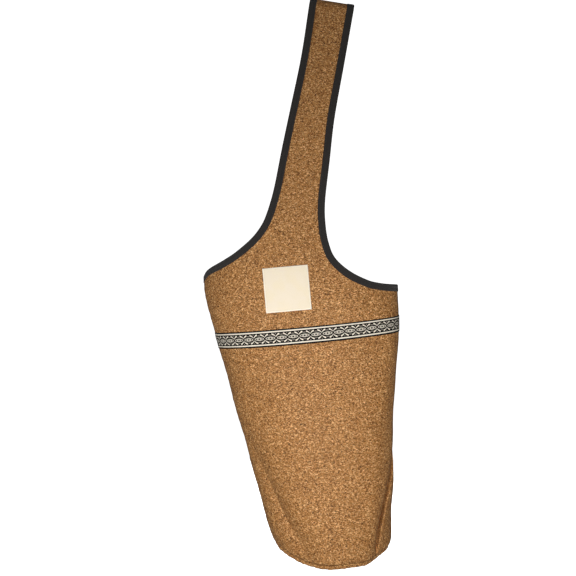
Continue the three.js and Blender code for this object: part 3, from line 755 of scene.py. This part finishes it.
def stitches_object(name, line, normals, pitch, length, thick, material):
    """A row of stitches along a line on the cloth, each a short low bow of thread."""
    run = np.concatenate([[0], np.cumsum(np.linalg.norm(np.diff(line, axis=0), axis=1))])
    count = int(run[-1] / pitch)
    starts = (np.arange(count) + 0.5) * run[-1] / count - length / 2
    # A stitch dives into the cloth at both ends: places along it, and its thickness and height there.
    shares = np.array([0, 0.12, 0.5, 0.88, 1.0])
    sizes = np.array([0.25, 0.8, 1.0, 0.8, 0.25])
    heights = np.array([-0.5, 0.1, 0.45, 0.1, -0.5])
    at = starts[:, None] + shares * length
    centre = np.stack([np.interp(at, run, line[:, k]) for k in range(3)], axis=-1)
    normal = unit(np.stack([np.interp(at, run, normals[:, k]) for k in range(3)], axis=-1))
    along = unit(np.broadcast_to((centre[:, -1] - centre[:, 0])[:, None], centre.shape))
    beside = unit(np.cross(along, normal))
    sides = 6
    turn = np.arange(sides) * 2 * math.pi / sides
    ring = beside[..., None, :] * np.cos(turn)[:, None] + normal[..., None, :] * np.sin(turn)[:, None] * 0.8
    points = centre[..., None, :] + ring * (thick / 2 * sizes)[:, None, None]
    points = points + normal[..., None, :] * (thick * heights)[:, None, None]
    number = np.arange(points.size // 3).reshape(points.shape[:3])
    faces = []
    for k in range(sides):
        j = (k + 1) % sides
        quads = [number[:, :-1, k], number[:, 1:, k], number[:, 1:, j], number[:, :-1, j]]
        faces.append(np.stack(quads, axis=-1))
    faces = np.concatenate([f.reshape(-1, 4) for f in faces]).tolist()
    faces += number[:, 0, :].tolist() + number[:, -1, ::-1].tolist()
    mesh = bpy.data.meshes.new(name)
    mesh.from_pydata(points.reshape(-1, 3).tolist(), [], faces)
    edit = bmesh.new()
    edit.from_mesh(mesh)
    bmesh.ops.recalc_face_normals(edit, faces=edit.faces)
    edit.to_mesh(mesh)
    edit.free()
    mesh.shade_smooth()
    mesh.materials.append(material)
    piece = bpy.data.objects.new(name, mesh)
    bpy.context.scene.collection.objects.link(piece)
    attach(piece, "root")
    return piece


def tape_stitch_line(side, is_left, lift):
    """The line of stitching along a binding, on the outside or the inside of the cloth."""
    edge = edges[side, is_left]
    places = mixed(edge["places"], edge["hems"], TAPE_SEWN_AT)[1:-1]
    return (
        cloth_point(side, places[:, 0], places[:, 1], lift, at_seam=False),
        face_normal(side, places[:, 0], places[:, 1]),
    )


for is_left, name, node_name in (
    (True, "left_binding", "left_edge_tape"),
    (False, "right_binding", "right_edge_tape"),
):
    front, back = tape_rings(FRONT, is_left), tape_rings(BACK, is_left)
    loop = np.concatenate([front[:-1], (front[-1:] + back[-1:]) / 2, back[1:-1][::-1]])
    loop[0] = (front[0] + back[0]) / 2
    loop = np.concatenate([loop, loop[:1]])
    loop = np.concatenate([loop, loop[:, :1]], axis=1)
    way_up = np.concatenate([[0], np.cumsum(np.linalg.norm(np.diff(loop[:, 5], axis=0), axis=1))])
    way_over = np.concatenate([[0], np.cumsum(np.linalg.norm(np.diff(loop[40], axis=0), axis=1))])
    flat = np.stack(np.meshgrid(way_up, way_over, indexing="ij"), axis=-1)
    binding = sheet_object(name, [(loop, flat)], is_left, 0, [twill])
    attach(binding, "root")
    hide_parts(node_name)
    for side in (FRONT, BACK):
        line, normals = tape_stitch_line(side, is_left, TAPE_CLEAR + TAPE * 0.75)
        stitches_object(
                f"{name}_stitches_{'front' if side == FRONT else 'back'}",
                line, normals, pitch=0.0032, length=0.0026, thick=0.00045, material=black_thread,
            )

# The ribbon round the body.
# A jacquard ribbon, cream on black cotton and polyester, laid flat on each panel before the side seams are
# sewn, which catch its ends. Its two edges are sewn down with black thread.

RIBBON_BELOW_MOUTH = 0.073
RIBBON_WIDTH = 0.022
RIBBON = 0.0006
RIBBON_OVER = 0.0001
RIBBON_CLIMB = 0.0036
ribbon_path = BODY_HEIGHT - RIBBON_BELOW_MOUTH

# Jacquard weave, cream weft on black warp: each selvedge black, then a cream border, then a black field with
# a chain of eyes between crossed arcs. A repeat is 14.8 mm long, and the threads, 0.4 mm apart, step the
# slanting lines. The fine rise and fall of the weave is drawn 0.9 mm long, a little over two threads.
REPEAT_MM = 14.8
THREAD_MM = 0.4
FIRST_CROSS_MM = 8.8  # right of the crest
REP_MM = 0.9
jacquard, tree, shader = new_material(
    "jacquard_ribbon_cream_on_black", Roughness=0.75, Specular_IOR_Level=0.2
)
flat = flat_ways(tree)


def ellipse(name, right, up, half_wide, half_high):
    """The steps to a value that is 1 inside an ellipse and 0 outside it."""
    return [
        ("right", "DIVIDE", right, half_wide),
        ("up", "DIVIDE", up, half_high),
        ("right", "MULTIPLY", "right", "right"),
        ("up", "MULTIPLY", "up", "up"),
        ("away", "ADD", "right", "up"),
        (name, "LESS_THAN", "away", 1.0),
    ]


# The ornament in steps, in millimetres: a value's name, and the operation on values or numbers that gives it.
ORNAMENT = [
    ("along", "MULTIPLY", "flat along", 1000.0),
    ("along", "SUBTRACT", "along", FIRST_CROSS_MM),
    ("along", "SNAP", "along", THREAD_MM),
    ("across", "MULTIPLY", "flat across", 1000.0),
    ("across", "SNAP", "across", THREAD_MM),
    ("across", "ABSOLUTE", "across"),
    ("beside cross", "PINGPONG", "along", REPEAT_MM / 2),
    ("beside eye", "SUBTRACT", REPEAT_MM / 2, "beside cross"),
    # The border is 2 mm wide, 8.2 mm from the middle line.
    ("border", "SUBTRACT", "across", 8.2),
    ("border", "ABSOLUTE", "border"),
    ("border", "LESS_THAN", "border", 0.98),
    # An arc starts 1.8 mm beside the middle line at a cross, and flattens out and thickens towards its end.
    ("rise", "MULTIPLY", "beside cross", 0.11),
    ("rise", "SUBTRACT", 1.25, "rise"),
    ("rise", "MULTIPLY", "beside cross", "rise"),
    ("arc", "SUBTRACT", "across", "rise"),
    ("arc", "SUBTRACT", "arc", 1.8),
    ("arc", "ABSOLUTE", "arc"),
    ("thick", "MULTIPLY", "beside cross", 0.13),
    ("thick", "ADD", "thick", 0.42),
    ("arc", "LESS_THAN", "arc", "thick"),
    ("in reach", "LESS_THAN", "beside cross", 5.0),
    ("arc", "MULTIPLY", "arc", "in reach"),
    # An eye is greyer than the arcs, with one pupil in its middle and one at each end.
    *ellipse("eye", "beside eye", "across", 6.3, 2.1),
    *ellipse("pupil", "beside eye", "across", 1.3, 0.95),
    ("beside end", "SUBTRACT", "beside eye", 3.8),
    *ellipse("end pupil", "beside end", "across", 1.1, 0.85),
    ("pupil", "MAXIMUM", "pupil", "end pupil"),
    ("eye", "SUBTRACT", "eye", "pupil"),
    ("eye", "MULTIPLY", "eye", 0.66),
    # A grey fleck over each eye, and one over each cross.
    ("over eye", "SUBTRACT", "across", 4.2),
    *ellipse("fleck", "beside eye", "over eye", 2.0, 0.7),
    ("fleck", "MULTIPLY", "fleck", 0.22),
    ("over cross", "SUBTRACT", "across", 5.8),
    *ellipse("tip", "beside cross", "over cross", 0.8, 0.6),
    ("tip", "MULTIPLY", "tip", 0.35),
    ("cream", "MAXIMUM", "border", "arc"),
    ("cream", "MAXIMUM", "cream", "eye"),
    ("fleck", "MAXIMUM", "fleck", "tip"),
    ("cream", "MAXIMUM", "cream", "fleck"),
    ("cream height", "MULTIPLY", "cream", 0.6),
    ("rep height", "MULTIPLY", "rep", 0.3),
    ("height", "ADD", "cream height", "rep height"),
]
rep = plain_weave(tree, flat, REP_MM, REP_MM)
values = {"flat along": flat[0], "flat across": flat[1], "rep": rep}
for name, operation, *terms in ORNAMENT:
    inputs = {i: values.get(term, term) for i, term in enumerate(terms)}
    values[name] = node(tree, "ShaderNodeMath", {"operation": operation}, inputs)[0]
light = layered_colour(tree, "#dcd1bb", [(rep, -1.0, 1.0, 1.0, "#fff8e8")])
shade = layered_colour(tree, "#050302", [(rep, -1.0, 1.0, 1.0, "#1c140e")])
tone = node(tree, "ShaderNodeMix", {"data_type": "RGBA"}, {0: values["cream"], 6: shade, 7: light})[2]
tree.links.new(tone, shader.inputs["Base Color"])
bump = node(tree, "ShaderNodeBump", {}, {"Strength": 0.5, "Distance": 0.0003, "Height": values["height"]})[0]
tree.links.new(bump, shader.inputs["Normal"])

RIBBON_SEWN_AT = 0.47  # the share of the ribbon's width, either way from its middle
RIBBON_CLIMBS_FROM = 1.7  # the angle round the bag
RIBBON_ROWS = np.array([-1, -0.985, -0.93, -0.8, -0.6, -0.4, -0.2, 0, 0.2, 0.4, 0.6, 0.8, 0.93, 0.985, 1]) / 2
RIBBON_LIFT = np.array([0.25, 0.75, 0.95, 1, 1, 1, 1, 1, 1, 1, 1, 1, 0.95, 0.75, 0.25])
ribbon_angles = np.linspace(0, math.pi, 261)


def ribbon_places(offset):
    """Places along the ribbon, offset from its middle line towards the mouth. It climbs to the right seam."""
    climb = np.clip((ribbon_angles - RIBBON_CLIMBS_FROM) / (math.pi - RIBBON_CLIMBS_FROM), 0, 1)
    middle_path = ribbon_path + RIBBON_CLIMB * climb * climb * (3 - 2 * climb)
    size = np.linalg.norm(face_slopes(FRONT, ribbon_angles, middle_path)[1], axis=-1)
    return middle_path + offset / size


for side, name, node_name in (
    (FRONT, "front_ribbon_band", "front_ribbon"),
    (BACK, "back_ribbon_band", "back_ribbon"),
):
    grid, flats = [], []
    centre_line = cloth_point(side, ribbon_angles, ribbon_places(0.0))
    run = np.concatenate([[0], np.cumsum(np.linalg.norm(np.diff(centre_line, axis=0), axis=1))])
    run -= np.interp(math.pi / 2, ribbon_angles, run)
    for share, lift in zip(RIBBON_ROWS, RIBBON_LIFT, strict=True):
        offset = share * RIBBON_WIDTH
        grid.append(cloth_point(side, ribbon_angles, ribbon_places(offset), RIBBON_OVER + RIBBON * lift))
        flats.append(np.stack([run, np.full(run.shape, offset)], axis=-1))
    ribbon = sheet_object(name, [(np.array(grid), np.array(flats))], side == BACK, RIBBON * 0.8, [jacquard])
    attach(ribbon, "root")
    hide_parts(node_name)
    for edge_share, where in ((-RIBBON_SEWN_AT, "low"), (RIBBON_SEWN_AT, "high")):
        paths = ribbon_places(edge_share * RIBBON_WIDTH)
        line = cloth_point(side, ribbon_angles, paths, RIBBON_OVER + RIBBON)[2:-2]
        stitches_object(
                f"{name}_stitches_{where}", line, face_normal(side, ribbon_angles, paths)[2:-2],
                pitch=0.0031, length=0.0025, thick=0.0004, material=black_thread,
            )

# The label.
# A patch of plain cream cotton satin with its edges folded under, laid on the front below the mouth and sewn
# down all round.

LABEL_WIDTH = 0.059
LABEL_HEIGHT = 0.058
LABEL_BELOW_MOUTH = 0.0115
LABEL_RIGHT = 0.0035
LABEL_TILT = math.radians(5.2)
LABEL = 0.0007
LABEL_SEWN_AT = 0.0024  # inside its edges

# Cotton satin, bleached and dyed cream: smooth, with a soft sheen, paler along its folded edges. Its threads
# are 0.15 mm apart, and are drawn 0.4 and 0.55 mm apart, so that they show.
SATIN_MM = (0.8, 1.1)  # two threads each way
satin, tree, shader = new_material("cotton_satin_cream", Roughness=0.55, Sheen_Weight=0.15)
flat = flat_ways(tree)
rep = plain_weave(tree, flat, *SATIN_MM)
cloud = node(
    tree, "ShaderNodeTexNoise", {}, {"Vector": node(tree, "ShaderNodeTexCoord", {}, {})[3], "Scale": 70.0}
)[0]
to_edges = []
for way, size in ((flat[0], LABEL_WIDTH), (flat[1], LABEL_HEIGHT)):
    away = node(tree, "ShaderNodeMath", {"operation": "ABSOLUTE"}, {0: way})[0]
    to_edges.append(node(tree, "ShaderNodeMath", {"operation": "SUBTRACT"}, {0: size / 2, 1: away})[0])
to_edge = node(tree, "ShaderNodeMath", {"operation": "MINIMUM"}, {0: to_edges[0], 1: to_edges[1]})[0]
tone = layered_colour(tree, "#ecdabb", [
    (rep, -1.0, 1.0, 1.0, "#f8ebd0"),
    (cloud, 0.35, 0.65, 0.35, "#f3e6d6"),
    (to_edge, 0.0022, 0.0008, 1.0, "#fff6e2"),
])
tree.links.new(tone, shader.inputs["Base Color"])
bump = node(tree, "ShaderNodeBump", {}, {"Strength": 0.35, "Distance": 0.0002, "Height": rep})[0]
tree.links.new(bump, shader.inputs["Normal"])

# Cotton sewing thread, cream: matt, with the same ply as the black one.
cream_thread, tree, shader = new_material("cotton_thread_cream", Roughness=0.6)
lay = node(
    tree, "ShaderNodeTexNoise", {},
    {"Vector": node(tree, "ShaderNodeTexCoord", {}, {})[3], "Scale": PLY_SCALE},
)[0]
tone = layered_colour(tree, "#dcc8a4", [(lay, 0.35, 0.65, 1.0, "#fff3da")])
tree.links.new(tone, shader.inputs["Base Color"])


def place_seen_at(x, z):
    """The places of the front face that are seen at x, z from straight ahead."""
    angle, path = np.full(x.shape, math.pi / 2), np.full(x.shape, BODY_HEIGHT)
    for _ in range(12):
        here = face_point(FRONT, angle, path)
        around, up = face_slopes(FRONT, angle, path)
        dx, dz = x - here[..., 0], z - here[..., 2]
        size = around[..., 0] * up[..., 2] - up[..., 0] * around[..., 2]
        angle = angle + (dx * up[..., 2] - dz * up[..., 0]) / size
        path = path + (dz * around[..., 0] - dx * around[..., 2]) / size
    return angle, path


def label_places(right, up):
    """Places of the front face, from the way right and up from the label's middle."""
    at = section_at(BODY_HEIGHT - LABEL_BELOW_MOUTH)
    x = at["crest_x"] + LABEL_RIGHT + right * math.cos(LABEL_TILT) - up * math.sin(LABEL_TILT)
    z = at["z"] + right * math.sin(LABEL_TILT) + up * math.cos(LABEL_TILT)
    return place_seen_at(x, z)


steps = np.concatenate([[-0.5, -0.494, -0.48], np.linspace(-0.455, 0.455, 33), [0.48, 0.494, 0.5]])
right, up = np.meshgrid(steps * LABEL_WIDTH, steps * LABEL_HEIGHT)
edge_way = np.minimum(LABEL_WIDTH / 2 - np.abs(right), LABEL_HEIGHT / 2 - np.abs(up))
lift = LABEL * np.clip(0.3 + edge_way / 0.0009, 0, 1)
lift -= 0.0002 * np.exp(-(((edge_way - LABEL_SEWN_AT) / 0.0008) ** 2))
lift += 0.0003 * np.clip(edge_way / 0.02, 0, 1) + 0.00012 * ripple(right + 0.3 * up, (0.019, 0.031), 0.8)
angle, path = label_places(right, up)
grid = cloth_point(FRONT, angle, path, 0.0001 + lift)
label = sheet_object("label_patch", [(grid, np.stack([right, up], axis=-1))], False, LABEL * 0.8, [satin])
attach(label, "root")
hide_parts("front_label")
sewn_size = (LABEL_WIDTH / 2 - LABEL_SEWN_AT, LABEL_HEIGHT / 2 - LABEL_SEWN_AT)
corners = np.array([(-1, -1), (1, -1), (1, 1), (-1, 1), (-1, -1)]) * sewn_size
line = np.concatenate([
    corners[i] + (corners[i + 1] - corners[i]) * np.linspace(0, 1, 24)[:-1, None] for i in range(4)
] + [corners[-1:]])
angle, path = label_places(line[:, 0], line[:, 1])
label_stitches = stitches_object(
    "label_stitches", cloth_point(FRONT, angle, path, LABEL + 0.00005), face_normal(FRONT, angle, path),
    pitch=0.003, length=0.0023, thick=0.0004, material=cream_thread,
)


# The studio.
# A white paper sweep, all round, with the bag hung in the middle. One soft light stands by the camera, low
# down, so that the strap gets less of it, a weaker one at the left, and a large one behind for the back.

bpy.ops.object.select_all(action="DESELECT")
SWEEP_RADIUS = 2.6
SWEEP_HEIGHT = 4.0
SWEEP_BEND = 1.1
FLOOR_Z = -1.02
bpy.ops.mesh.primitive_cylinder_add(
    vertices=96, radius=SWEEP_RADIUS, depth=SWEEP_HEIGHT, location=(-0.04, 0, FLOOR_Z + SWEEP_HEIGHT / 2)
)
sweep = bpy.context.object
sweep.name = "studio_sweep"
bpy.ops.object.transform_apply(location=True)
edit = bmesh.new()
edit.from_mesh(sweep.data)
bmesh.ops.delete(edit, geom=[f for f in edit.faces if f.normal.z > 0.9], context="FACES_ONLY")
foot = [e for e in edit.edges if all(v.co.z < FLOOR_Z + 0.01 for v in e.verts)]
bmesh.ops.bevel(edit, geom=foot, offset=SWEEP_BEND, segments=20, profile=0.5, affect="EDGES")
bmesh.ops.reverse_faces(edit, faces=edit.faces)
edit.to_mesh(sweep.data)
edit.free()
sweep.data.shade_smooth()

# Seamless background paper, white: dead matt, and lit so far that it burns out to white.
paper, tree, shader = new_material(
    "background_paper_white", Roughness=1.0, Specular_IOR_Level=0.0,
    Emission_Color=(1, 1, 1, 1), Emission_Strength=1.0,
)
mottle = node(
    tree, "ShaderNodeTexNoise", {}, {"Vector": node(tree, "ShaderNodeTexCoord", {}, {})[3], "Scale": 3.0}
)[0]
tone = layered_colour(tree, "#f8f8f7", [(mottle, 0.3, 0.7, 1.0, "#fbfbfa")])
tree.links.new(tone, shader.inputs["Base Color"])
sweep.data.materials.append(paper)
sweep.visible_diffuse = False
sweep.visible_glossy = False
sweep.visible_shadow = False


def soft_light(name, place, target, size, power):
    """A soft box: an area light that faces a target."""
    light = bpy.data.lights.new(name, "AREA")
    light.shape = "DISK"
    light.size = size
    light.energy = power
    light.spread = math.pi
    lamp = bpy.data.objects.new(name, light)
    bpy.context.scene.collection.objects.link(lamp)
    lamp.location = place
    way = np.array(target) - np.array(place)
    lamp.rotation_euler = (
        math.atan2(math.hypot(way[0], way[1]), -way[2]),
        0,
        math.atan2(way[1], way[0]) - math.pi / 2,
    )
    lamp.visible_camera = False


soft_light("key_softbox", (-0.03, -0.78, -0.60), (-0.02, 0, -0.5), 0.34, 5.2)
soft_light("fill_softbox", (-0.85, -0.6, -0.62), (-0.06, 0, -0.58), 0.5, 1.3)
soft_light("back_softbox", (0.1, 1.5, -0.35), (-0.04, 0, -0.42), 0.9, 18.0)

world = bpy.data.worlds.new("studio_air")
world.use_nodes = True
world.node_tree.nodes["Background"].inputs["Color"].default_value = (1, 1, 1, 1)
world.node_tree.nodes["Background"].inputs["Strength"].default_value = 0.16
bpy.context.scene.world = world
bpy.context.scene.view_settings.view_transform = "Standard"

# The camera.
# It looks straight ahead at the hanging bag, from as far as the photograph's perspective shows.

FOCAL_MM = 42.93
CAMERA_PLACE = (-0.060852, -0.950, -0.392772)
lens = bpy.data.cameras.new("photograph")
lens.lens = FOCAL_MM
lens.sensor_width = 36
camera = bpy.data.objects.new("photograph", lens)
bpy.context.scene.collection.objects.link(camera)
camera.location = CAMERA_PLACE
camera.rotation_euler = (math.pi / 2, 0, 0)
bpy.context.scene.camera = camera

bpy.context.view_layer.update()
